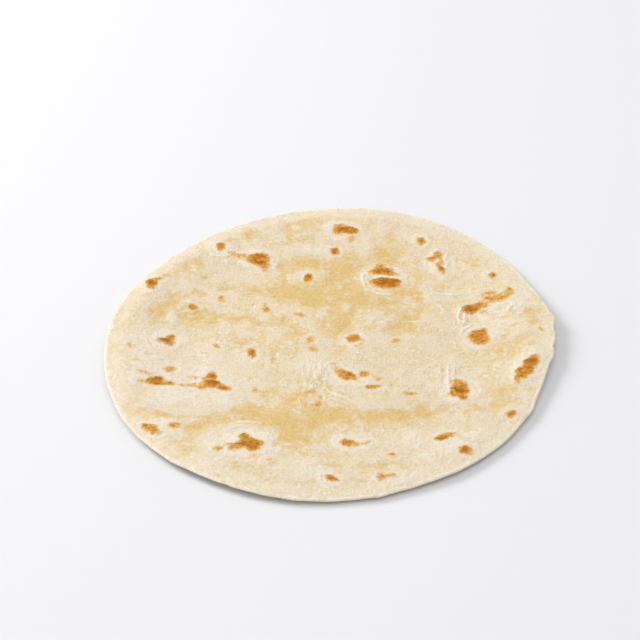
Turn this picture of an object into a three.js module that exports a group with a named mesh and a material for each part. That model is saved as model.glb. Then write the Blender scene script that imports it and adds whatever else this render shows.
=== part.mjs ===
// A soft wheat-flour tortilla, eight inches across, lying on a flat surface.
// It is one thin round of pressed dough, so it is one closed solid.
// Millimetres, +Z up, origin under the middle of the resting face.
import * as THREE from 'three';

// The sheet: an even thickness that thins to a rounded rim.
const MEAN_RADIUS = 98.4;
const SHEET_THICKNESS = 2.0;
const RIM_THICKNESS = 1.3;
const TAPER_WIDTH = 9;

// How finely the solid is divided.
const SPOKES = 96;
const RING_STEP = 11;
const RIM_ARC_STEPS = 4;

// The outline: a hand-stretched round, a little oval and three-sided, with one blunt corner.
const STRETCHES = [
  { lobes: 2, height: 2.7, towards: 36 },
  { lobes: 3, height: 1.0, towards: -51 },
  { lobes: 4, height: 0.3, towards: -28 },
  { lobes: 7, height: 0.3, towards: 8 },
];
const CORNER = { height: 3.3, towards: 5, halfWidth: 12 };

// The lie: flat in the middle, and the soft rim stands a little off the surface in places.
const RESTING_SHARE = 0.6;
const LEAST_RISE = 0.5;
const RISES = [
  { height: 4.4, towards: 6, halfWidth: 32 },
  { height: 1.5, towards: 80, halfWidth: 24 },
  { height: 1.8, towards: 130, halfWidth: 24 },
  { height: 3.6, towards: 180, halfWidth: 27 },
  { height: 2.2, towards: 238, halfWidth: 28 },
  { height: 1.2, towards: 302, halfWidth: 22 },
];

// A smooth hump of the given height, falling away on both sides of its direction.
function hump({ height, towards, halfWidth }, angle) {
  const apart = angle - THREE.MathUtils.degToRad(towards);
  const nearest = Math.atan2(Math.sin(apart), Math.cos(apart));
  return height * Math.exp(-((nearest / THREE.MathUtils.degToRad(halfWidth)) ** 2));
}

function outlineRadius(angle) {
  let radius = MEAN_RADIUS + hump(CORNER, angle);
  for (const { lobes, height, towards } of STRETCHES) {
    radius += height * Math.cos(lobes * (angle - THREE.MathUtils.degToRad(towards)));
  }
  return radius;
}

// How far the sheet stands off the surface at a share of the way out to the rim.
function riseOffSurface(angle, share) {
  let rimRise = LEAST_RISE;
  for (const rise of RISES) {
    rimRise += hump(rise, angle);
  }
  return rimRise * THREE.MathUtils.smoothstep(share, RESTING_SHARE, 1);
}

// Half of the sheet's cross-section, from the axis underneath, round the rim, to the axis on top.
function crossSection() {
  const rimRadius = RIM_THICKNESS / 2;
  const taperStart = MEAN_RADIUS - TAPER_WIDTH;
  const rings = Math.round(taperStart / RING_STEP);
  const points = [];
  for (let ring = 0; ring <= rings; ring += 1) {
    points.push(new THREE.Vector2((taperStart * ring) / rings, 0));
  }
  for (let step = 0; step <= RIM_ARC_STEPS; step += 1) {
    const turn = -Math.PI / 2 + (Math.PI * step) / RIM_ARC_STEPS;
    const across = MEAN_RADIUS - rimRadius + rimRadius * Math.cos(turn);
    points.push(new THREE.Vector2(across, rimRadius + rimRadius * Math.sin(turn)));
  }
  for (let ring = rings; ring >= 0; ring -= 1) {
    points.push(new THREE.Vector2((taperStart * ring) / rings, SHEET_THICKNESS));
  }
  return points;
}

function tortillaGeometry() {
  const geometry = new THREE.LatheGeometry(crossSection(), SPOKES);
  geometry.rotateX(Math.PI / 2);
  const place = geometry.attributes.position;
  for (let i = 0; i < place.count; i += 1) {
    const angle = Math.atan2(place.getY(i), place.getX(i));
    const share = Math.hypot(place.getX(i), place.getY(i)) / MEAN_RADIUS;
    const reach = share * outlineRadius(angle);
    const height = place.getZ(i) + riseOffSurface(angle, share);
    place.setXYZ(i, reach * Math.cos(angle), reach * Math.sin(angle), height);
  }
  geometry.computeBoundingBox();
  const middle = geometry.boundingBox.getCenter(new THREE.Vector3());
  geometry.translate(-middle.x, -middle.y, 0);
  geometry.computeVertexNormals();
  return geometry;
}

const bakedDough = new THREE.MeshStandardMaterial({
  color: 0xecdcbe,
  roughness: 0.72,
  metalness: 0,
});

const tortilla = new THREE.Mesh(tortillaGeometry(), bakedDough);
tortilla.name = 'tortilla';

const object = new THREE.Group();
object.add(tortilla);

export default object;
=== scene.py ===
"""A soft flour tortilla, freshly toasted, lying on a pale table in soft daylight.

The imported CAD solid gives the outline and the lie. The skin made here stands for it, with the
puffs, blisters, creases and toasted patches of the real thing.
"""

import math
import random

import bmesh
import bpy
import numpy as np
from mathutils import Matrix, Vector, noise


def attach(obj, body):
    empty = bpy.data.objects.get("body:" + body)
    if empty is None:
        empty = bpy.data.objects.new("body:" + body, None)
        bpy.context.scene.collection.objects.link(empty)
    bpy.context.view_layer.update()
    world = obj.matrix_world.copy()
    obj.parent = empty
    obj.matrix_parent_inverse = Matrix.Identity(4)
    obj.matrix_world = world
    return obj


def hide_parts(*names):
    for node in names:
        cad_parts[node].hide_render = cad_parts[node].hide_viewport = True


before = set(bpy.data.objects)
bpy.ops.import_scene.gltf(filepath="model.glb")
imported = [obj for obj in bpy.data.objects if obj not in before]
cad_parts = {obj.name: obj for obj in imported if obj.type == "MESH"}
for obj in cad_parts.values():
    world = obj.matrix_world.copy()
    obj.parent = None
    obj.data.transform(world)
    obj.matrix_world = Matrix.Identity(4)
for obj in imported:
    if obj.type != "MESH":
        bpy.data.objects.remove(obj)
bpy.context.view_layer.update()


# ==== The tortilla ===========================================================================
# A ball of wheat dough is pressed between hot plates into a thin round. The rim is where the
# dough stopped flowing, so it is never quite circular, and it dries first and lifts a little.
# It is then toasted on dry iron, first on its underside and then on the side that shows.

MM = 0.001
SHEET_THICKNESS = 2.0
RIM_THICKNESS = 1.3
TAPER_WIDTH = 9.0
RESTING_SHARE = 0.6


# ---- Its outline and lie, read from the solid -----------------------------------------------

RIM_SAMPLES = 96  # as many as the solid has spokes
RIM_HARMONICS = 24


def rim_of(node):
    """Distance and height of the solid's outermost points, at even steps of angle, in mm."""
    corners = np.array([v.co for v in node.data.vertices]) / MM
    angle = np.arctan2(corners[:, 1], corners[:, 0])
    distance = np.hypot(corners[:, 0], corners[:, 1])
    sector = np.floor((angle + math.pi) / (2 * math.pi) * RIM_SAMPLES).astype(int)
    outermost = []
    for number in range(RIM_SAMPLES):
        members = np.flatnonzero(sector == number)
        if len(members):
            outermost.append(members[np.argmax(distance[members])])
    outermost = sorted(outermost, key=lambda i: angle[i])
    even = (np.arange(RIM_SAMPLES) + 0.5) / RIM_SAMPLES * 2 * math.pi - math.pi
    reach = np.interp(even, angle[outermost], distance[outermost], period=2 * math.pi)
    height = np.interp(even, angle[outermost], corners[outermost, 2], period=2 * math.pi)
    return even, reach, height


def smooth_round(even, values):
    """A smooth function of angle that passes close to evenly spaced values."""
    waves = np.fft.rfft(values) / len(values)

    def at(angle):
        total = np.full(angle.shape, waves[0].real)
        for k in range(1, RIM_HARMONICS):
            total += 2 * (waves[k] * np.exp(1j * k * (angle - even[0]))).real
        return total

    return at


even_angles, rim_reach, rim_height = rim_of(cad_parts["tortilla"])
outline = smooth_round(even_angles, rim_reach)
rim_level = smooth_round(even_angles, rim_height - RIM_THICKNESS / 2)


# ---- A square blank, rounded ----------------------------------------------------------------
# One closed skin, top and underside, that meets at the thin rounded rim. It starts as a square
# blank with two sides, and every square ring of the blank becomes a round one.

UNDERSIDE_CELLS = 140
MERGE_DISTANCE = 1e-5

bm = bmesh.new()
bmesh.ops.create_grid(bm, x_segments=UNDERSIDE_CELLS, y_segments=UNDERSIDE_CELLS, size=1.0)
copied = bmesh.ops.duplicate(bm, geom=bm.verts[:] + bm.edges[:] + bm.faces[:])["geom"]
under_verts = {g for g in copied if isinstance(g, bmesh.types.BMVert)}
under_faces = [g for g in copied if isinstance(g, bmesh.types.BMFace)]
bmesh.ops.reverse_faces(bm, faces=under_faces)
for vert in bm.verts:
    if not vert.is_boundary:
        vert.co.z = -1.0 if vert in under_verts else 1.0
bmesh.ops.remove_doubles(bm, verts=bm.verts[:], dist=MERGE_DISTANCE)
top_edges = [e for e in bm.edges if all(v.co.z >= 0 for v in e.verts)]
bmesh.ops.subdivide_edges(bm, edges=top_edges, cuts=1, use_grid_fill=True)

blank = np.array([v.co for v in bm.verts])
side = np.sign(np.round(blank[:, 2], 3))
on_top = side > 0


def square_to_round(a, b):
    """The ring and the angle, in a disc, of a point of the square from -1 to 1."""
    ring = np.maximum(np.abs(a), np.abs(b))
    safe = np.where(ring == 0, 1, ring)
    from_x = math.pi / 4 * b / safe
    from_y = math.pi / 4 * a / safe
    angle_x = np.where(a >= 0, from_x, math.pi - from_x)
    angle_y = np.where(b >= 0, math.pi / 2 - from_y, -math.pi / 2 + from_y)
    return ring, np.where(np.abs(a) >= np.abs(b), angle_x, angle_y)


def smoothstep(low, high, value):
    """A smooth climb from 0 at low to 1 at high, or a fall if high is the smaller."""
    share = np.clip((value - low) / (high - low), 0, 1)
    return share * share * (3 - 2 * share)


def lumps(places, size, seed):
    """Smooth noise from -1 to 1 at each place (mm), with lumps about size mm across."""
    shift = Vector((seed * 17.3, seed * 5.7, seed * 9.1))
    return np.array([noise.noise(Vector(p) + shift) for p in places / size])


# The outermost rings crowd together, so that the narrow rim is round.
RIM_CROWDING = 0.02
RIM_CROWDING_POWER = 40

ring, angle = square_to_round(blank[:, 0], blank[:, 1])
share = ring * (1 + RIM_CROWDING) - RIM_CROWDING * ring**RIM_CROWDING_POWER
around = np.stack([np.cos(angle), np.sin(angle), np.zeros_like(angle)], axis=1)

# The pressed rim is a little ragged over the last tenth of the way out: it wavers, it is
# nibbled, and it has a few torn corners and nicks. Each of those is its direction in degrees,
# its reach in mm and its half width in degrees.
RIM_WAVER = 0.35
RIM_WAVER_SIZE = 9.0
RIM_NIBBLE = 0.06
RIM_NIBBLE_SIZE = 2.2
RAGGED_FROM = 0.9
RIM_TEARS = [
    (7.2, 1.3, 1.3), (3.2, -0.6, 0.9), (-3.6, -0.5, 0.7), (-7, 0.8, 2.4), (-28, 0.7, 3.0),
    (-78, 0.5, 2.5), (-116, -0.5, 0.8), (-131, 0.4, 2.0), (152, 0.5, 3.0), (62, -0.3, 1.0),
]

rim_places = around * rim_reach.mean()
ragged = RIM_WAVER * lumps(rim_places, RIM_WAVER_SIZE, 1)
ragged += RIM_NIBBLE * lumps(rim_places, RIM_NIBBLE_SIZE, 2)
for towards, out, half_width in RIM_TEARS:
    apart = np.degrees(np.angle(np.exp(1j * (angle - math.radians(towards)))))
    ragged += out * np.exp(-((apart / half_width) ** 2))
edge_reach = outline(angle) - RIM_WAVER / 2
reach = share * (edge_reach + ragged * smoothstep(RAGGED_FROM, 1.0, share))
flat = around * reach[:, None]
from_rim = edge_reach * (1 - share)

half_rim = RIM_THICKNESS / 2
curl = np.sqrt(1 - (1 - np.clip(from_rim / half_rim, 0, 1)) ** 2) * half_rim
taper = np.clip((from_rim - half_rim) / (TAPER_WIDTH - half_rim), 0, 1)
thickening = (SHEET_THICKNESS - RIM_THICKNESS) * taper
rise = rim_level(angle) * smoothstep(RESTING_SHARE, 1.0, share)
height = rise + half_rim + np.where(on_top, curl + thickening, -curl)


# ---- What the iron did to it ----------------------------------------------------------------
# The highest blisters touch the hot iron and toast from amber to brown. Each dab of toasting is
# an oval: x, y, length, width, turn and heat, in mm and degrees, with heat from 0 to 1.

TOASTED = [
    (-52.5, 66, 4.2, 3.2, 90, 0.88),
    (-33.4, 58.2, 8, 7.4, 0, 0.9), (-37, 58.6, 5, 5, 0, 0.7), (-31.7, 54.8, 4.8, 5.5, 0, 0.6),
    (-31.2, 52.4, 3, 4, 0, 0.42), (-41.5, 60, 7, 3.4, 0, 0.4), (-45, 61, 5, 2.4, -15, 0.33),
    (-48.3, 62.3, 3, 1.5, -40, 0.22),
    (-83, 38.3, 5.8, 4.1, 90, 0.92), (-80.7, 41.4, 3.2, 2.4, 20, 0.7),
    (-63.3, 23.6, 3.8, 3, -30, 0.78), (-65.3, 24.4, 2, 1.6, 0, 0.4),
    (-50.7, 30, 3.7, 2.4, -75, 0.5), (-10.9, 45, 4.8, 3.5, 75, 0.92),
    (-30.9, 25.6, 2.6, 1.6, 90, 0.45), (-30, 23, 3.2, 2.6, -30, 0.6), (-14.7, 19.3, 4.4, 2.4, -30, 0.46),
    (-72.2, 1.6, 4.2, 2.9, 60, 0.8), (-74.5, 0, 4.7, 2.6, 10, 0.85), (-72.6, -1.4, 3.3, 2.8, 0, 0.85),
    (-76.8, -0.2, 2, 1.4, 0, 0.6), (-9.7, 1.7, 3, 2.1, 60, 0.5), (-9, 3.2, 1.6, 1.4, 0, 0.35),
    (-51.3, -2.6, 2.6, 1.4, -40, 0.5), (-8.4, -4.8, 3.2, 1.8, -20, 0.46), (-8.2, -3, 2, 1, 80, 0.3),
    (-90, -4.6, 3, 1.8, 80, 0.28),
    (-35.6, -7.2, 5, 3, -80, 0.78), (-36.8, -4.8, 2.2, 1.8, 0, 0.4), (-35.4, -6.6, 2, 2, 0, 0.85),
    (-71.5, -18.7, 5, 3.2, 15, 0.45), (-80.6, -22.6, 3.4, 1.8, -20, 0.48),
    (-84.3, -22, 3, 1.6, 0, 0.25), (-77.5, -27, 6.8, 3.6, 10, 0.92), (-75.6, -25.2, 2, 2, 0, 0.8),
    (-75.5, -28.4, 3, 2, 0, 0.85), (-71.5, -27.8, 6, 2, 0, 0.6), (-83.5, -27.5, 3, 2, 0, 0.35),
    (-63, -28.2, 8, 2, 3, 0.3), (-58.5, -27.8, 5, 2, 0, 0.38), (-60, -23.2, 4.4, 1.6, 0, 0.36),
    (-52.8, -22.5, 4.6, 3.6, 90, 0.8), (-54.8, -24.3, 2.4, 2, 0, 0.5),
    (-52.5, -27.5, 6, 4.2, 0, 0.92), (-47.5, -29.5, 6, 2.8, -20, 0.72), (-56, -29.3, 4, 2.2, 10, 0.55),
    (-45.3, -30.6, 2, 1.6, 0, 0.35), (-33.6, -31.3, 2.2, 2.8, 0, 0.4),
    (-9.8, -32.3, 3.4, 1.8, 25, 0.5), (-11.8, -35.2, 1.4, 2, 0, 0.25), (-11.5, -39.5, 1.4, 2, 0, 0.25),
    (-6, -35.6, 1.2, 1.2, 0, 0.3), (-8.7, -40, 1.4, 1.6, 0, 0.3), (-6.2, -39.8, 2.6, 2.8, 0, 0.42),
    (-78.6, -55.8, 4, 2.8, -30, 0.7), (-75.8, -57.6, 3.9, 3.4, -40, 0.8),
    (-73.9, -59, 1.8, 1.4, 0, 0.5), (-67, -54.5, 3.6, 2.8, 0, 0.52),
    (-37, -61, 3.8, 4.8, 0, 0.72), (-33.9, -64.9, 7.6, 5.6, -10, 0.8), (-33.5, -67.2, 4.4, 4.4, 0, 0.92),
    (-37.5, -65.5, 4, 4.2, 0, 0.78), (-31.5, -64.3, 3.4, 2.8, 0, 0.75), (-40.7, -67.7, 5, 3.8, 0, 0.68),
    (-44.3, -66.3, 2.4, 1.4, -20, 0.4), (-47.5, -68.6, 3.2, 2.2, 20, 0.5),
    (-25, -76.5, 2, 1.6, 0, 0.3), (-26, -74.5, 3, 1, 0, 0.2), (-48, -84, 1.6, 1, 0, 0.3),
    (1.8, 65, 3.3, 4.2, 0, 0.88), (-0.6, 65.5, 2, 1.6, 0, 0.4),
    (3.9, 80.2, 5.3, 5.6, 0, 0.86), (8.6, 79.2, 7.2, 4.6, -5, 0.86), (4.6, 83, 4.5, 1.4, 0, 0.55),
    (2, 78.3, 1.6, 2, 0, 0.6), (6.5, 77.5, 5, 1.6, 0, 0.35), (9.3, 74, 3.4, 3.8, 0, 0.3),
    (43, 71.4, 3.7, 2.8, 90, 0.9),
    (50.5, 61.2, 3.6, 5, 0, 0.55), (48, 58.7, 5.4, 3.2, 5, 0.6), (51.8, 56.8, 2, 4, 10, 0.38),
    (51.3, 51.2, 5.6, 2.2, -78, 0.62), (50.3, 54, 2, 2, 0, 0.33),
    (23, 52.6, 5.4, 4.8, 90, 0.6), (23.8, 50.3, 8.8, 6, 0, 0.6), (22.8, 49.5, 9, 4.2, 0, 0.66),
    (26.3, 48.8, 7.4, 4, -15, 0.58),
    (29.8, 47.8, 3.4, 1.6, 0, 0.38), (20, 48.2, 4, 2.4, 0, 0.48), (27.6, 51.6, 1.6, 1.6, 0, 0.33),
    (25.6, 42, 12.6, 4.6, 0, 0.8), (25.8, 39.9, 10.4, 4.8, 0, 0.82), (25.3, 41.3, 6, 3, 0, 0.95),
    (20.2, 43.1, 3.2, 2, 0, 0.7), (30.6, 42.8, 3.2, 2.6, 0, 0.72),
    (74.8, 44.3, 3.1, 3.4, 0, 0.6), (65.2, 35.4, 2, 1.2, 20, 0.25),
    (63.8, 22.3, 7.3, 6, 10, 0.8), (66.8, 24.3, 5.4, 4.2, 30, 0.7), (69.5, 23.8, 4, 3.2, 0, 0.42),
    (68.5, 19.5, 4.6, 3, -30, 0.34), (70.5, 17.5, 2, 1.4, -30, 0.2),
    (72.5, 30.4, 7, 5.8, 0, 0.42), (75.2, 27.8, 8.2, 5.4, 20, 0.46), (79.2, 29.4, 6.8, 4.8, 25, 0.46),
    (81.6, 31, 4.6, 3.8, 60, 0.48), (81.6, 33.5, 2, 2, 0, 0.35), (70.2, 28.4, 3, 3, 0, 0.3),
    (65.8, 5, 7.4, 5.6, 0, 0.72), (66.6, 1.2, 6.6, 6.2, 80, 0.78), (66.2, 3.2, 7.6, 7.6, 0, 0.6),
    (63.3, 3.8, 3, 3.2, 0, 0.65),
    (68, 7, 2.8, 2, -20, 0.7), (67.5, 4, 3, 4, 0, 0.7), (66, 2.4, 6, 1, 75, 0.95),
    (9.8, 2.4, 5, 5, 0, 0.86), (7.6, 2.4, 2.4, 1.8, 0, 0.5),
    (28.6, 1.2, 2.6, 2.2, 0, 0.5), (27.5, 0.4, 2, 1, 0, 0.35), (93.5, 4.6, 2.2, 2.2, 0, 0.35),
    (6.8, -22.3, 6.6, 5, -20, 0.7), (4, -20, 4.8, 4, -40, 0.58), (2, -17.8, 4, 2.6, -20, 0.38),
    (9, -24.4, 2.4, 1.8, 0, 0.5), (14, -21, 3.7, 3.4, 0, 0.6), (19, -22.6, 4.4, 1.8, -20, 0.4),
    (21, -24, 3, 1.4, 0, 0.33), (17.7, -28.9, 5.4, 2.3, 8, 0.63), (20.7, -27.9, 2.4, 1.5, 30, 0.4),
    (33.4, -33.3, 4.3, 1.8, 0, 0.56),
    (55.2, -27, 4.8, 4.2, 0, 0.55), (53, -26, 2.4, 2, 0, 0.4), (56.3, -32.2, 5.5, 4.5, 30, 0.9),
    (53.3, -33.8, 4.8, 2.8, 0, 0.72), (54.3, -30.2, 4, 4.4, 0, 0.75), (56.5, -35.5, 3, 2.8, 0, 0.82),
    (57, -29.3, 3.2, 2.4, 0, 0.7),
    (87.5, -17.4, 8, 5.5, 60, 0.8), (84.3, -21.7, 8, 5.4, 40, 0.82), (82.3, -24.7, 3.6, 3.4, 0, 0.7),
    (80.7, -27.5, 3.6, 2.1, 85, 0.62), (89.6, -14.3, 3, 2.2, 60, 0.62),
    (76, -47.7, 2.7, 2.2, 60, 0.92), (77, -46.3, 1.2, 1.6, 0, 0.6), (74.7, -48, 1.6, 1, 0, 0.4),
    (67, -48, 3, 1.4, 0, 0.22), (46.3, -61, 5.4, 2.8, 25, 0.88), (50, -59.7, 4, 2.2, 20, 0.58),
    (52, -60.2, 2, 1.2, -20, 0.35), (54.5, -62.3, 4, 1.2, -35, 0.2),
    (55.5, -69.4, 4.9, 3.5, 0, 0.82), (57.3, -70.6, 2, 1.8, 0, 0.6),
    (6.1, -63.5, 4.8, 3.4, -10, 0.77), (9.5, -64.3, 4, 2.1, -10, 0.43), (12, -64.8, 3, 1.4, 0, 0.25),
    (14.3, -63.8, 1.8, 1.6, 0, 0.4), (24.8, -71.2, 2.6, 1.7, -10, 0.42),
    (19.7, -83.8, 3.4, 5, 0, 0.47), (23.5, -83.4, 4.6, 2.4, 10, 0.42), (29.8, -83.5, 1, 1, 0, 0.2),
    (-0.6, -85.3, 3.9, 2.8, -25, 0.76), (0.9, -86.3, 2, 1.6, 0, 0.5),
]

# Where the dough stayed thin and moist it is yellow and almost clear. Each cloud is an oval too,
# and its last number is how moist it is.
MOIST = [
    (-15, 56, 13, 7, 0, 0.8), (-21, 48, 7, 12, 0, 0.6), (-5, 56, 10, 7, 0, 0.75),
    (-8, 33, 16, 12, 0, 1), (-18, 36, 12, 6, 0, 0.9), (-28, 36.5, 16, 6, 0, 0.8),
    (-13, 40, 12, 6, 0, 0.6), (-16, 31, 12, 5, 0, 0.7), (-59, 18, 18, 9, 0, 0.9),
    (-42, 17.5, 14, 4, -5, 0.7), (-33, 14, 14, 4, 0, 0.4), (-22, 12, 16, 6, -20, 0.5),
    (-17, 5, 6, 4, 0, 0.6), (-79.5, 17, 8, 12, 0, 0.6), (-81, 11.5, 12, 3, 0, 0.6),
    (-78, 23, 6, 8, 0, 0.5), (-73, 29, 6, 8, 0, 0.6), (-62, 32, 9, 5, 0, 0.6),
    (-65, 53, 10, 6, 0, 0.65), (-39, 77, 5, 8, 0, 0.7), (-50.5, 71.5, 5, 4, 0, 0.6),
    (-16, 73, 10, 6, 0, 0.65), (-10, 86, 10, 7, 0, 0.6), (-20, 80, 6, 10, 0, 0.6),
    (-96, 12, 6, 14, 0, 0.4), (-96, -10, 6, 14, 0, 0.4), (-45, 38, 12, 4, 0, 0.55),
    (-56, 45, 8, 4, 0, 0.25), (-72, 47, 8, 5, 20, 0.45),
    (6, 49, 14, 18, 0, 0.9), (8, 33, 18, 12, 0, 1), (20, 27, 14, 6, -10, 0.8),
    (30, 24, 14, 8, -10, 0.8), (40, 21, 6, 8, 0, 0.6), (34, 12.5, 12, 9, 0, 0.85),
    (34, 35, 17, 9, -10, 0.75),
    (4, 15, 12, 16, 0, 0.9), (24, 9, 30, 5, 0, 0.5), (27, 62, 16, 10, 0, 0.7),
    (28, 76, 6, 8, 0, 0.4), (12, 60, 10, 6, 0, 0.4), (40, 43, 3.5, 12, 0, 0.6),
    (53, 38, 8, 4, 0, 0.4), (92.5, 14, 7, 14, -15, 0.7), (90, 20, 4, 8, 0, 0.4),
    (-26, -8, 4, 14, -15, 0.5), (-28, -32, 10, 4, 0, 0.5), (-22, -34, 10, 5, 0, 0.4),
    (-15, -40, 8, 6, 0, 0.5), (-10, -35.5, 13, 12, 0, 0.65), (-25, -16, 11, 9, 0, 0.4),
    (-12, -6, 9, 11, 0, 0.4), (-50, -34, 16, 5, 0, 0.3), (-33, -44.5, 16, 8, 5, 1),
    (-20, -50, 26, 8, -10, 1),
    (-6, -48, 14, 8, 0, 1), (-48, -47, 12, 2.6, 5, 0.4), (-60, -49, 32, 2, -2, 0.85),
    (-85, -46.5, 12, 5, -5, 0.7), (-76, -48, 16, 2.6, 0, 0.35), (-14.5, -59, 11, 19, 20, 0.95),
    (-21, -70, 8, 5, 30, 0.2), (-56, -53.5, 14, 6, 15, 0.8), (-60, -60, 6, 10, -20, 0.6),
    (-65, -67, 10, 5, 10, 0.5), (-62, -72, 10, 3, 0, 0.4), (-88, -43, 6, 6, 0, 0.4),
    (-35, -78, 10, 2, 0, 0.3), (-42, -80, 8, 4, 0, 0.25), (-25, -88, 6, 2.4, 0, 0.45),
    (-5, -78, 10, 1.2, 0, 0.5), (2, -47.2, 12, 8, 0, 1), (22, -47, 22, 7, 3, 1),
    (38, -44, 10, 4, 5, 0.75), (50, -45.5, 20, 3, 0, 0.5), (60, -41.5, 14, 6, 0, 0.4),
    (70, -42, 20, 5, 10, 0.5),
    (74, -34, 10, 6, 0, 0.5), (83, -33, 11, 4, 10, 0.5), (71, -8, 18, 8, -12, 0.55),
    (20, -77, 14, 3, 5, 0.5), (0, -77, 10, 1.5, 5, 0.5), (10, -86, 6, 3, 0, 0.3),
    (72, -52, 8, 6, 0, 0.3), (80, 19, 28, 22, 70, 0.4), (84, -3, 10, 8, 0, 0.4), (-37, 2, 11, 12, 0, 0.4),
    (66, 54, 9, 7, -20, 0.35), (4, 76, 8, 3, 0, 0.4),
]

# Steam lifts the dough in pale floury puffs. Here the last number is the height.
PUFFED = [
    (79, 18, 40, 30, 70, 0.5), (86, -18, 30, 16, 60, 0.6), (66, 4, 22, 17, 90, 0.5),
    (25, 44, 24, 22, 0, 0.6), (50, 56, 13, 22, 0, 0.5), (6, 80, 22, 16, 0, 0.5),
    (43, 72, 12, 12, 0, 0.35), (-34, 58, 22, 20, 0, 0.5), (-52, 66, 16, 16, 0, 0.4),
    (-84, 39, 15, 18, 80, 0.4), (-72.5, 16, 8, 12, 0, 0.5), (-74, 0, 24, 18, 0, 0.5),
    (-53, -25, 26, 16, 0, 0.6), (-78, -25, 24, 14, 0, 0.5), (-36, -64, 30, 20, 0, 0.7),
    (-71, -56, 26, 12, -10, 0.4), (56, -31, 20, 22, 90, 0.5), (50, -65, 26, 18, -10, 0.5),
    (9, -64, 24, 14, 0, 0.4), (-2, -86, 20, 9, 0, 0.3), (26, -85, 26, 10, 5, 0.3),
    (10, 2, 16, 14, 0, 0.4), (-10, -14, 22, 18, 0, 0.3), (8, -24, 26, 14, -10, 0.4),
    (-62, -37, 54, 14, 0, 0.5), (-70, -34, 26, 14, 0, 0.5), (-13, 45, 12, 12, 0, 0.3),
    (-12, 66, 24, 12, 0, 0.3),
    (1, 65, 12, 10, 0, 0.35), (74, 45, 10, 10, 0, 0.3), (-8.5, -37, 10, 10, 0, 0.2),
    (-35.5, -7, 12, 14, 0, 0.35), (-64, 24, 12, 9, 0, 0.3), (40, 14, 7, 9, 0, 0.4),
    (76, -47, 12, 10, 0, 0.3), (36, -62, 16, 14, 0, 0.35),
    (-60, -28, 70, 60, 0, 0.3), (-40, -66, 44, 34, 0, 0.35), (-80, -10, 40, 60, 0, 0.25),
    (-12, -79.5, 34, 16, 0, 0.35), (61, -60, 17, 11, 25, 0.35), (40, -72, 16, 9, 0, 0.3),
]

# Creases bend round the puffs as the steam leaves them: the middle, radius, direction and half
# spread of each arc, in mm and degrees, and how sharp it is.
CREASES = [
    (25, 44, 10.6, 190, 44, 1.0), (25, 44, 8.4, 195, 30, 0.5), (25, 43, 9.6, 262, 40, 0.7),
    (50, 55, 6.0, 185, 38, 0.5), (49, 54, 5.4, 0, 45, 0.6), (50, 55, 7.6, 0, 30, 0.4),
    (74, 16, 16.4, 168, 30, 1.0), (74, 16, 13.8, 176, 20, 0.9), (74, 16, 11.5, 170, 14, 0.6),
    (95, 10, 18, 140, 14, 0.9), (97, 7, 20.5, 138, 12, 0.8), (93, 12, 12, 150, 16, 0.5),
    (66, 4, 7.8, 150, 50, 0.7), (110, -26, 59.5, 180, 15, 1.0), (110, -27, 57, 180, 13, 0.8),
    (110, -22, 62.5, 181, 10, 0.5), (-34, 58, 9, 10, 46, 0.25), (-30, 58, 11.5, 5, 30, 0.25),
    (-74, 0, 8.6, 200, 40, 0.6), (-36, -64, 13.5, 95, 40, 0.6), (-36, -64, 11.4, 120, 30, 0.5),
    (8, -24, 12, 235, 40, 0.8), (8, -26, 9.4, 245, 30, 0.6), (-8.5, -37, 5.8, 200, 60, 0.45),
    (-8.5, -37, 5.6, 20, 60, 0.45), (40, 60, 46, 270, 10, 0.6), (38, -62, 9, 100, 60, 0.2),
    (59.5, -11, 5, 90, 70, 0.5), (59.5, -11, 6, 205, 50, 0.4),
    (-52, 66, 6.5, 260, 70, 0.4), (56, -31, 8.7, 0, 50, 0.3), (86, -19, 7.5, 320, 40, 0.6),
    (-60, -49, 40, 90, 10, 0.5), (60, 95, 62, 262, 9, 0.6), (44, 21, 7, 10, 50, 0.5),
]

# Where the dough was drawn together it is finely gathered: ovals, and how tight the pleats are,
# which run the way of the oval.
GATHERED = [
    (-7, -20, 34, 18, 84, 1.0), (-24, -12, 24, 14, 78, 0.6), (12, -10, 26, 24, 86, 0.5),
    (59, 13, 22, 9, 75, 0.9), (46, -30, 30, 9, 86, 0.9), (30, -28, 24, 26, 88, 0.5),
    (20, 14, 30, 14, 20, 0.5), (-60, 46, 34, 22, -30, 0.6), (84, 20, 22, 14, 60, 0.7),
    (50, 30, 26, 16, 40, 0.5), (-30, -78, 34, 12, 0, 0.4), (60, 50, 24, 14, -50, 0.5),
    (-50, 2, 30, 16, 80, 0.5), (20, -70, 40, 14, 10, 0.4), (-14, 72, 30, 16, -10, 0.4),
]


def oval_reach(places, x, y, length, width, turn):
    """How far out of an oval each place is: 0 at its middle and 1 on its edge."""
    cosine, sine = math.cos(math.radians(turn)), math.sin(math.radians(turn))
    dx, dy = places[:, 0] - x, places[:, 1] - y
    return np.hypot((dx * cosine + dy * sine) / (length / 2), (dy * cosine - dx * sine) / (width / 2))


# A dab of toasting starts a little outside its oval's edge and is full a little inside it, in mm.
# Dabs that overlap run together, and the heat climbs fast from nothing and slowly to its most.
EDGE_OUTSIDE = 2.0
EDGE_INSIDE = -1.4
BLEND_POWER = 5
HEAT_SPREAD = 0.48
FAR_OFF = 20.0


def toasting(places, dabs):
    """The heat at each place, and the distance in mm from the nearest dab's edge."""
    heat = np.zeros(len(places))
    nearest = np.full(len(places), FAR_OFF)
    for x, y, length, width, turn, hottest in dabs:
        outside = (oval_reach(places, x, y, length, width, turn) - 1) * math.sqrt(length * width) / 2
        heat += (hottest * smoothstep(EDGE_OUTSIDE, EDGE_INSIDE, outside)) ** BLEND_POWER
        nearest = np.minimum(nearest, outside)
    return heat ** (HEAT_SPREAD / BLEND_POWER), nearest


CLOUD_FADING = 0.65


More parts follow.
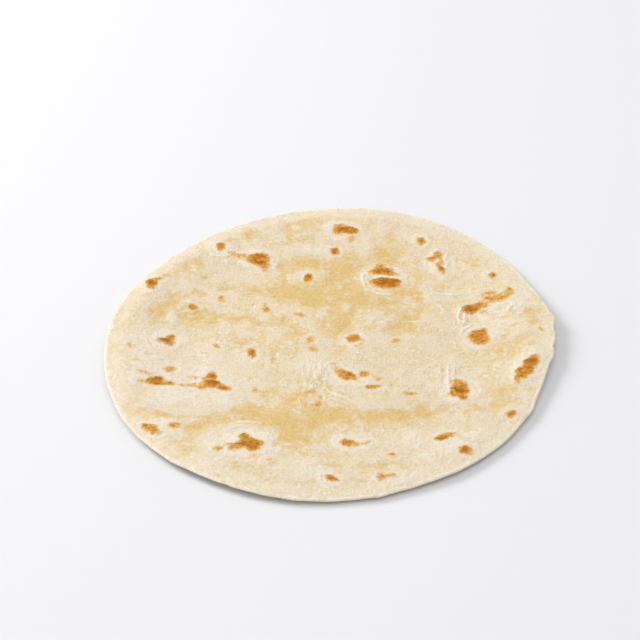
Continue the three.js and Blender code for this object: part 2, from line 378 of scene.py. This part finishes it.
def clouds(places, ovals):
    """Each oval's number in its middle, fading softly past its edge."""
    kept = np.ones(len(places))
    for x, y, length, width, turn, strength in ovals:
        far_out = oval_reach(places, x, y, length, width, turn)
        kept *= 1 - strength * np.exp(-CLOUD_FADING * far_out**2)
    return 1 - kept


def domes(places, puffs, steepness):
    """The height in mm of the tallest puff at each place."""
    total = np.zeros(len(places))
    for x, y, length, width, turn, tall in puffs:
        inside = np.clip(1 - oval_reach(places, x, y, length, width, turn) ** 2, 0, 1)
        total = np.maximum(total, tall * inside**steepness)
    return total


def folds(places, creases):
    """The signed distance in mm from the nearest crease, and how sharply it is folded there."""
    from_fold = np.full(len(places), FAR_OFF)
    folded = np.zeros(len(places))
    for x, y, radius, towards, spread, sharp in creases:
        from_middle = (places[:, 0] - x) + 1j * (places[:, 1] - y)
        apart = np.degrees(np.angle(from_middle * np.exp(-1j * math.radians(towards))))
        fade = np.clip(1 - (apart / spread) ** 2, 0, 1)
        away = np.abs(from_middle) - radius
        nearer = (fade > 0) & (np.abs(away) < np.abs(from_fold))
        from_fold[nearer] = away[nearer]
        folded[nearer] = sharp * fade[nearer]
    return from_fold, folded


PLEAT_LENGTH = 4.0


def gathers(places, gathered):
    """How tightly each place is gathered, and where it is along and across the pleats, in mm."""
    tightness = np.zeros(len(places))
    pleat_place = np.zeros((len(places), 3))
    for number, (x, y, length, width, turn, tight) in enumerate(gathered):
        inside = tight * np.clip(1 - oval_reach(places, x, y, length, width, turn) ** 2, 0, 1)
        tighter = inside > tightness
        tightness[tighter] = inside[tighter]
        turned = (places[tighter, 0] + 1j * places[tighter, 1]) * np.exp(-1j * math.radians(turn))
        pleat_place[tighter, 0] = turned.real / PLEAT_LENGTH
        pleat_place[tighter, 1] = turned.imag
        pleat_place[tighter, 2] = number * FAR_OFF
    return tightness, pleat_place


# The side that was baked first has marks of its own. They lie in groups of one to three ovals,
# anywhere within the reach of its middle, in mm; the rest are shares of a group's own size.
UNDERSIDE_REACH = 92
GROUP_COUNTS = (1, 2, 2, 3)
GROUP_SCATTER = 0.4
LEAST_STRENGTH = 0.45
LENGTHS = (0.6, 1.1)
WIDTHS = (0.45, 0.9)


def underside_ovals(seed, count, least, most, strongest):
    """Groups of ovals in random places, each from least to most mm in size."""
    draw = random.Random(seed)
    ovals = []
    for _ in range(count):
        away = UNDERSIDE_REACH * math.sqrt(draw.random())
        bearing = math.radians(draw.uniform(0, 360))
        size = draw.uniform(least, most)
        strength = strongest * draw.uniform(LEAST_STRENGTH, 1.0)
        for _ in range(draw.choice(GROUP_COUNTS)):
            long = size * draw.uniform(*LENGTHS)
            ovals.append((
                away * math.cos(bearing) + draw.uniform(-GROUP_SCATTER, GROUP_SCATTER) * size,
                away * math.sin(bearing) + draw.uniform(-GROUP_SCATTER, GROUP_SCATTER) * size,
                long, long * draw.uniform(*WIDTHS), draw.uniform(0, 180), strength,
            ))
    return ovals


UNDER_TOASTED = underside_ovals(11, 80, 2, 9, 0.95)
UNDER_MOIST = underside_ovals(13, 34, 10, 30, 0.9)
UNDER_PUFFED = underside_ovals(14, 30, 12, 34, 0.6)

# The marks of both faces are all moved together by this much along x and y, in mm.
MARKS_SHIFT = np.array([0.2, -0.3])

# Nothing on it is a true oval: every mark is drawn out of shape by the dough's own unevenness.
# Each unevenness is how far it moves a mark and how wide its lumps are, in mm, and its seed.
MARK_DRIFTS = ((0.65, 3.5, 3), (0.35, 1.4, 5))
CLOUD_DRIFT = (2.2, 7, 7)
STEEPNESS_SIZE = 9
STEEPNESS_RANGE = (0.4, 1.8)


def wander(amount, size, seed):
    """How far the dough's unevenness moves each place along x and y, in mm."""
    return amount * np.stack([lumps(flat, size, seed), lumps(flat, size, seed + 1)], axis=1)


drift = sum(wander(*unevenness) for unevenness in MARK_DRIFTS)
shifted = flat[:, :2] - MARKS_SHIFT
marked = shifted + drift
drawn_out = marked + wander(*CLOUD_DRIFT)
steepness = np.clip(1 + lumps(flat, STEEPNESS_SIZE, 9), *STEEPNESS_RANGE)

top_heat, top_apart = toasting(marked, TOASTED)
under_heat, under_apart = toasting(marked, UNDER_TOASTED)
heat = np.where(on_top, top_heat, under_heat)
apart = np.where(on_top, top_apart, under_apart)
moist = np.where(on_top, clouds(drawn_out, MOIST), clouds(drawn_out, UNDER_MOIST))
puff_top = domes((drawn_out + marked) / 2, PUFFED, steepness)
puff_under = domes(drawn_out, UNDER_PUFFED, steepness)
puff_height = np.where(on_top, puff_top, puff_under)

# The relief, in mm. A blister stands up from its foot, outside the toasting, to its top. A tight
# ridge, broken here and there, runs round it where the dough pulled away from the iron.
BLISTER_HEIGHT = 0.26
BLISTER_FOOT = 2.0
BLISTER_TOP = -0.8
RIDGE_HEIGHT = 0.24
RIDGE_HALF_WIDTH = 0.6
RIDGE_DISTANCE = 2.7
RIDGE_WANDER = 0.9
RIDGE_WANDER_SIZE = 6
RIDGE_BREAKS = (-0.1, 0.35)
RIDGE_BREAK_SIZE = 5

blister = BLISTER_HEIGHT * smoothstep(BLISTER_FOOT, BLISTER_TOP, apart)
ridge_place = RIDGE_DISTANCE + RIDGE_WANDER * lumps(flat, RIDGE_WANDER_SIZE, 10)
ridge = RIDGE_HEIGHT * np.exp(-(((apart - ridge_place) / RIDGE_HALF_WIDTH) ** 2))
ridge *= smoothstep(*RIDGE_BREAKS, lumps(flat, RIDGE_BREAK_SIZE, 11))

# Everything between is pebbled, creased and gathered. Each layer of lumps is its height and its
# size in mm, and its seed.
BROAD_LUMPS = ((0.24, 17, 12), (0.13, 7, 13))
PEBBLES = ((0.075, 3.2, 14), (0.05, 1.7, 15))
FOLD_HEIGHT = 0.4
FOLD_HALF_WIDTH = 0.9
PLEAT_HEIGHT = 0.3
PLEAT_SPACING = 2.6

broad = sum(tall * lumps(flat, size, seed) for tall, size, seed in BROAD_LUMPS)
pebble = sum(tall * lumps(flat, size, seed) for tall, size, seed in PEBBLES)
from_fold, folded = folds(shifted + drift / 2, CREASES)
creased = FOLD_HEIGHT * folded * np.exp(-((from_fold / FOLD_HALF_WIDTH) ** 2))
gathered, pleat_place = gathers(marked, GATHERED)
pleats = PLEAT_HEIGHT * gathered * (1 - 2 * np.abs(lumps(pleat_place, PLEAT_SPACING, 20)))

# It all settles to nothing at the rim, and the moist dough sinks. The underside bears on the
# table, so its relief is flatter and never goes down.
SETTLED = 0.3
UNSETTLED = 4.0
MOIST_SINKING = 0.22
UNDERSIDE_FLATNESS = 0.5
UNDERSIDE_LIFT = 0.2

settle = smoothstep(SETTLED, UNSETTLED, from_rim)
fine_settle = smoothstep(0.0, UNSETTLED, from_rim)
relief = settle * (puff_height + blister + ridge + broad - MOIST_SINKING * moist)
relief += fine_settle * pebble
top_relief = relief + settle * (creased + pleats)
under_relief = np.maximum(0.0, UNDERSIDE_FLATNESS * (relief + UNDERSIDE_LIFT)) * settle
height = height + np.where(on_top, top_relief, np.where(side < 0, under_relief, 0.0))

# Flour stays on the puffs and in a halo round each toasted spot. The ridges round the spots are
# made pale as well, as a painted highlight.
FLOURY_HEIGHT = 0.55
RIDGE_HIGHLIGHT = 2
HALO = 0.2
HALO_OUTSIDE = 4.0
HALO_INSIDE = 0.5

halo = HALO * smoothstep(HALO_OUTSIDE, HALO_INSIDE, apart)
floury_and_ridge_highlight = np.clip(puff_height / FLOURY_HEIGHT, 0, 1) + RIDGE_HIGHLIGHT * ridge + halo

for vert, place in zip(bm.verts, np.column_stack([flat[:, :2], height]) * MM):
    vert.co = place
for face in bm.faces:
    face.smooth = True

mesh = bpy.data.meshes.new("tortilla_skin")
bm.to_mesh(mesh)
bm.free()
tortilla = bpy.data.objects.new("tortilla_skin", mesh)
bpy.context.scene.collection.objects.link(tortilla)

marks = {
    "browned": heat, "moist": moist, "floury_and_ridge_highlight": floury_and_ridge_highlight, "from_rim": from_rim,
    "from_fold": from_fold, "folded": folded, "gathered": gathered,
}
for name, values in marks.items():
    layer = mesh.attributes.new(name, "FLOAT", "POINT")
    layer.data.foreach_set("value", values.astype(np.float32))
layer = mesh.attributes.new("pleat_place", "FLOAT_VECTOR", "POINT")
layer.data.foreach_set("vector", pleat_place.astype(np.float32).ravel())

# The flat pattern of the skin: the top gets the larger disc of the square and the underside a
# smaller one. Each is its middle and its radius.
TOP_DISC = ((0.36, 0.36), 0.355)
UNDER_DISC = ((0.77, 0.77), 0.22)
corner_vertex = np.empty(len(mesh.loops), np.int32)
mesh.loops.foreach_get("vertex_index", corner_vertex)
face_corners = np.empty(len(mesh.polygons), np.int32)
mesh.polygons.foreach_get("loop_total", face_corners)
face_start = np.empty(len(mesh.polygons), np.int32)
mesh.polygons.foreach_get("loop_start", face_start)
face_is_top = np.maximum.reduceat(side[corner_vertex], face_start) > 0
corner_is_top = np.repeat(face_is_top, face_corners)
spread = flat[corner_vertex, :2] / rim_reach.max()
top_uv = np.array(TOP_DISC[0]) + spread * TOP_DISC[1]
under_uv = np.array(UNDER_DISC[0]) + spread * (-UNDER_DISC[1], UNDER_DISC[1])
uv = np.where(corner_is_top[:, None], top_uv, under_uv)
uv_map = mesh.uv_layers.new(name="OFBake")
uv_map.data.foreach_set("uv", uv.astype(np.float32).ravel())


# ---- Its dough ------------------------------------------------------------------------------
# Soft wheat dough, dusted with flour and dry-toasted. It is matt and slightly see-through: pale
# cream where it is dry and puffed, yellow where it is moist, and amber to brown where it toasted.
# The crests of its creases, pleats and ridges and its rim's lip are painted lighter as highlights,
# and the creases' grooves are painted darker as shade.

def linear(hex_colour):
    """An sRGB hex colour, such as "f0e0c4", as the linear colour that a node takes."""
    channels = [int(hex_colour[i:i + 2], 16) / 255 for i in (0, 2, 4)]
    return [c / 12.92 if c <= 0.04045 else ((c + 0.055) / 1.055) ** 2.4 for c in channels] + [1.0]


def add(tree, kind, settings=None, inputs=None, output=0):
    """Adds a node with its settings and inputs, each a value or a socket; gives an output."""
    node = tree.nodes.new(kind)
    for name, value in (settings or {}).items():
        setattr(node, name, value)
    for socket, value in (inputs or {}).items():
        if isinstance(value, bpy.types.NodeSocket):
            tree.links.new(value, node.inputs[socket])
        else:
            node.inputs[socket].default_value = value
    return node.outputs[output] if node.outputs else node


CREAM = linear("ebdabc")
FLOURY = linear("f0e5d0")
FOLD_HIGHLIGHT = linear("fcf1dc")
GROOVE_SHADE = linear("d9c095")
DEEP_CREAM = linear("e7cd9b")
YELLOW = linear("e3c281")
RIM_CREAM = linear("f6ead3")
RIM_LIP_HIGHLIGHT = linear("f8eedb")
PALE_AMBER = linear("e5b665")
AMBER = linear("d39230")
BROWN = linear("bb7013")
DARK_BROWN = linear("9e5b0b")

dough = bpy.data.materials.new("toasted_wheat_dough")
dough.use_nodes = True
tree = dough.node_tree
tree.nodes.clear()
place = add(tree, "ShaderNodeTexCoord", output="Object")

# The dough's own grain, as noise about zero: the real size of its lumps in mm, its detail, and
# the way that it lies. The streaks are drawn out the way that the sheet was rolled.
ROLLED_OUT = (0.3, 1.0, 1.0)
rolled = add(tree, "ShaderNodeMapping", {}, {"Vector": place, "Scale": ROLLED_OUT})
GRAINS = {
    "cloud": (9.0, 2, place),
    "blot": (4.2, 2, place),
    "streak": (2.2, 2, rolled),
    "lump": (2.1, 1, place),
    "crumb": (1.15, 2, place),
    "speck": (0.6, 1, place),
}
grain = {
    name: add(tree, "ShaderNodeTexNoise", {"normalize": False},
              {"Vector": along, "Scale": 1 / (size * MM), "Detail": detail, "Roughness": 0.5})
    for name, (size, detail, along) in GRAINS.items()
}
field = {
    name: add(tree, "ShaderNodeAttribute", {"attribute_name": name}, output="Fac")
    for name in marks
}

# A crease is a ridge with a groove along its inner side: its crest gets a painted highlight and
# its groove painted shade. Each is its middle and its half width, in mm from the fold. They
# waver, and they are faint here and there.
CREASE_WAVER = 0.35
CREASE_FAINTNESS = 0.45
FAINT_FROM = -0.3
FAINT_TO = 0.1
CREASE_LINES = (("ridge", 0.0, 0.85), ("groove", -1.25, 0.75))

wavering = add(tree, "ShaderNodeMath", {"operation": "MULTIPLY_ADD"},
               {0: grain["lump"], 1: CREASE_WAVER, 2: field["from_fold"]})
unbroken = add(tree, "ShaderNodeMapRange", {},
               {"Value": grain["blot"], "From Min": FAINT_FROM, "From Max": FAINT_TO,
                "To Min": CREASE_FAINTNESS, "To Max": 1.0})
unbroken = add(tree, "ShaderNodeMath", {"operation": "MULTIPLY"},
               {0: field["folded"], 1: unbroken})
for name, middle, half_width in CREASE_LINES:
    off = add(tree, "ShaderNodeMath", {"operation": "SUBTRACT"}, {0: wavering, 1: middle})
    off = add(tree, "ShaderNodeMath", {"operation": "ABSOLUTE"}, {0: off})
    line = add(tree, "ShaderNodeMapRange", {"interpolation_type": "SMOOTHSTEP"},
               {"Value": off, "From Min": half_width, "From Max": 0.0})
    field[name] = add(tree, "ShaderNodeMath", {"operation": "MULTIPLY"}, {0: line, 1: unbroken})

# A pleat is a thin ridge too, with a painted highlight on its crest: the pleats run along the
# lines where a drawn-out noise is nought.
PLEAT_WIDTH = 1.5
PLEAT_DETAIL = 1.5
PLEAT_SHARPNESS = 0.16

pleat = add(tree, "ShaderNodeAttribute", {"attribute_name": "pleat_place"}, output="Vector")
pleat = add(tree, "ShaderNodeTexNoise", {"normalize": False},
            {"Vector": pleat, "Scale": 1 / PLEAT_WIDTH, "Detail": PLEAT_DETAIL, "Roughness": 0.5})
pleat = add(tree, "ShaderNodeMath", {"operation": "ABSOLUTE"}, {0: pleat})
pleat = add(tree, "ShaderNodeMapRange", {"interpolation_type": "SMOOTHSTEP"},
            {"Value": pleat, "From Min": PLEAT_SHARPNESS, "From Max": 0.0})
field["pleat"] = add(tree, "ShaderNodeMath", {"operation": "MULTIPLY"},
                     {0: pleat, 1: field["gathered"]})

# Each layer of colour follows one of the marks, made ragged by so much of each grain: where it
# starts and where it is full, how strongly it covers, and its colour.
MOTTLING = (("cloud", 0.50), ("blot", 1.0))
STREAKY = (("cloud", 0.36), ("blot", 0.56), ("streak", 0.36))
FLECKED = (("lump", 1.0),)
RIM_RAGGEDNESS = (("blot", 1.1), ("lump", 0.2))
CLEAN = ()
TOASTY = (("lump", 0.12), ("streak", 0.10), ("crumb", 0.24), ("speck", 0.16))
VEINED = (("streak", 0.24), ("lump", 0.14), ("crumb", 0.22), ("speck", 0.10))
LAYERS = (
    ("moist", MOTTLING, -0.04, 0.26, 0.85, DEEP_CREAM),
    # The floury mark also paints a highlight on the ridges round the toasted spots.
    ("floury_and_ridge_highlight", MOTTLING, 0.08, 0.76, 0.95, FLOURY),
    ("moist", STREAKY, 0.26, 0.52, 0.72, DEEP_CREAM),
    ("moist", STREAKY, 0.50, 0.86, 0.92, YELLOW),
    ("moist", FLECKED, 0.30, 0.95, 0.40, YELLOW),
    ("floury_and_ridge_highlight", FLECKED, 0.30, 1.20, 0.50, FLOURY),
    # Painted light: shade in the creases' grooves, and highlights on the pleats and crease ridges.
    ("groove", CLEAN, 0.10, 0.90, 0.60, GROOVE_SHADE),
    ("pleat", CLEAN, 0.05, 0.75, 0.72, FOLD_HIGHLIGHT),
    ("ridge", CLEAN, 0.05, 0.60, 0.95, FOLD_HIGHLIGHT),
    ("from_rim", RIM_RAGGEDNESS, 11.0, 4.0, 0.45, RIM_CREAM),
    # The palest band, over the last 2 mm to the rim, is a painted highlight along the curled lip.
    ("from_rim", RIM_RAGGEDNESS, 2.0, 0.7, 0.85, RIM_LIP_HIGHLIGHT),
    ("browned", TOASTY, 0.27, 0.66, 0.90, PALE_AMBER),
    ("browned", TOASTY, 0.48, 0.86, 1.0, AMBER),
    ("browned", VEINED, 0.74, 1.04, 0.95, BROWN),
    ("browned", VEINED, 0.92, 1.20, 0.80, DARK_BROWN),
)
colour = CREAM
for mark, raggedness, start, full, strength, paint in LAYERS:
    edge = field[mark]
    for name, amount in raggedness:
        edge = add(tree, "ShaderNodeMath", {"operation": "MULTIPLY_ADD"},
                   {0: grain[name], 1: amount, 2: edge})
    cover = add(tree, "ShaderNodeMapRange", {"interpolation_type": "SMOOTHSTEP"},
                {"Value": edge, "From Min": start, "From Max": full, "To Max": strength})
    colour = add(tree, "ShaderNodeMix", {"data_type": "RGBA"}, {0: cover, 6: colour, 7: paint}, 2)

# Each speck and crumb of the surface is a little lighter or darker than the next.
EVEN_SHADE = 0.975
SHADES = (("speck", 0.07), ("crumb", 0.09))

shade = EVEN_SHADE
for name, amount in SHADES:
    shade = add(tree, "ShaderNodeMath", {"operation": "MULTIPLY_ADD"},
                {0: grain[name], 1: amount, 2: shade})
shade = add(tree, "ShaderNodeCombineColor", {}, {"Red": shade, "Green": shade, "Blue": shade})
colour = add(tree, "ShaderNodeMix", {"data_type": "RGBA", "blend_type": "MULTIPLY"},
             {0: 1.0, 6: colour, 7: shade}, 2)

# Floury dough is matt, and the toasted spots are a little smoother.
DRY_ROUGHNESS = 0.78
TOASTED_ROUGHNESS = 0.58
TOASTED_FROM = 0.3
TOASTED_TO = 0.9

roughness = add(tree, "ShaderNodeMapRange", {},
                {"Value": field["browned"], "From Min": TOASTED_FROM, "From Max": TOASTED_TO,
                 "To Min": DRY_ROUGHNESS, "To Max": TOASTED_ROUGHNESS})

# Relief too fine for the mesh, up to a quarter of a millimetre: pores, flour grains, and the
# sharp crests of the creases and pleats. It is smoother in some places than in others.
FINE_DEPTH = 0.24
FINE_RELIEF = (("lump", 0.60), ("crumb", 0.40), ("speck", 0.15),
               ("ridge", 1.0), ("groove", -0.6), ("pleat", 1.0))
SMOOTHEST = 0.35
SMOOTH_FROM = -0.3
SMOOTH_TO = 0.4

pores = 0.0
for name, amount in FINE_RELIEF:
    pores = add(tree, "ShaderNodeMath", {"operation": "MULTIPLY_ADD"},
                {0: {**grain, **field}[name], 1: amount, 2: pores})
roughened = add(tree, "ShaderNodeMapRange", {},
                {"Value": grain["blot"], "From Min": SMOOTH_FROM, "From Max": SMOOTH_TO,
                 "To Min": SMOOTHEST, "To Max": 1.0})
bump = add(tree, "ShaderNodeBump", {},
           {"Strength": roughened, "Distance": FINE_DEPTH * MM, "Height": pores})

# Light goes under a millimetre into the dough, and the red of it goes furthest.
GLOW_DEPTH = 0.8

shader = add(tree, "ShaderNodeBsdfPrincipled", {}, {
    "Base Color": colour, "Roughness": roughness, "Normal": bump, "IOR": 1.45,
    "Specular IOR Level": 0.3, "Subsurface Weight": 0.12,
    "Subsurface Radius": (1.0, 0.7, 0.4), "Subsurface Scale": GLOW_DEPTH * MM,
})
add(tree, "ShaderNodeOutputMaterial", {}, {"Surface": shader})
mesh.materials.append(dough)

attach(tortilla, "root")
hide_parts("tortilla")


# ==== The table and backdrop =================================================================
# A white sweep of matt painted board: a flat round table top that curves up, all round, into a
# pale wall.

FLOOR_REACH = 1.7
SWEEP_RADIUS = 0.7
WALL_TOP = 2.2
SWEEP_STEPS = 16
ROUND_STEPS = 96

bm = bmesh.new()
profile = [bm.verts.new((0, 0, 0)), bm.verts.new((FLOOR_REACH, 0, 0))]
for step in range(1, SWEEP_STEPS + 1):
    turn = math.pi / 2 * step / SWEEP_STEPS
    out = FLOOR_REACH + SWEEP_RADIUS * math.sin(turn)
    profile.append(bm.verts.new((out, 0, SWEEP_RADIUS * (1 - math.cos(turn)))))
profile.append(bm.verts.new((FLOOR_REACH + SWEEP_RADIUS, 0, WALL_TOP)))
lines = [bm.edges.new(pair) for pair in zip(profile, profile[1:])]
bmesh.ops.spin(bm, geom=profile + lines, cent=(0, 0, 0), axis=(0, 0, 1), angle=2 * math.pi,
               steps=ROUND_STEPS, use_merge=True)
bmesh.ops.remove_doubles(bm, verts=bm.verts[:], dist=MERGE_DISTANCE)
for face in bm.faces:
    face.smooth = True
    inward = face.normal.z or -face.normal.dot(face.calc_center_median())
    if inward < 0:
        face.normal_flip()
sweep_mesh = bpy.data.meshes.new("white_sweep")
bm.to_mesh(sweep_mesh)
bm.free()
sweep = bpy.data.objects.new("white_sweep", sweep_mesh)
bpy.context.scene.collection.objects.link(sweep)

board = bpy.data.materials.new("matt_white_paint")
board.use_nodes = True
board.node_tree.nodes.clear()
board_shader = add(board.node_tree, "ShaderNodeBsdfPrincipled", {}, {
    "Base Color": linear("f0f0f1"), "Roughness": 0.85, "Specular IOR Level": 0.2,
})
add(board.node_tree, "ShaderNodeOutputMaterial", {}, {"Surface": board_shader})
sweep_mesh.materials.append(board)


# ==== The light ==============================================================================
# A soft window to the left and a little behind, low enough to show the relief, under a wide pale
# ceiling in a pale room.

ROOM_BRIGHTNESS = 0.53


def soft_light(name, place, size, power):
    """A round soft light of so many metres and watts, aimed at the tortilla."""
    lamp = bpy.data.lights.new(name, "AREA")
    lamp.shape = "DISK"
    lamp.size = size
    lamp.energy = power
    holder = bpy.data.objects.new(name, lamp)
    holder.location = place
    holder.rotation_euler = (-Vector(place)).to_track_quat("-Z", "Y").to_euler()
    bpy.context.scene.collection.objects.link(holder)


soft_light("window", (-1.3, 0.65, 0.95), size=0.8, power=18.0)
soft_light("ceiling", (0.1, -0.1, 1.8), size=1.8, power=7.8)
room = bpy.data.worlds.new("pale_room")
room.use_nodes = True
room.node_tree.nodes["Background"].inputs["Color"].default_value = linear("fbfbfd")
room.node_tree.nodes["Background"].inputs["Strength"].default_value = ROOM_BRIGHTNESS
bpy.context.scene.world = room
bpy.context.scene.view_settings.view_transform = "Standard"


# ==== The camera =============================================================================
# A long lens from the near side, looking down at the tortilla.

LOOKING_DOWN = math.radians(41)
CAMERA_DISTANCE = 0.82
AIM = Vector((-0.0050, 0.0174, 0.0))
FOCAL_LENGTH = 101.25
SENSOR_WIDTH = 36

lens = bpy.data.cameras.new("camera")
lens.lens = FOCAL_LENGTH
lens.sensor_width = SENSOR_WIDTH
camera = bpy.data.objects.new("camera", lens)
camera.location = AIM + CAMERA_DISTANCE * Vector((0, -math.cos(LOOKING_DOWN), math.sin(LOOKING_DOWN)))
camera.rotation_euler = (math.pi / 2 - LOOKING_DOWN, 0, 0)
bpy.context.scene.collection.objects.link(camera)
bpy.context.scene.camera = camera
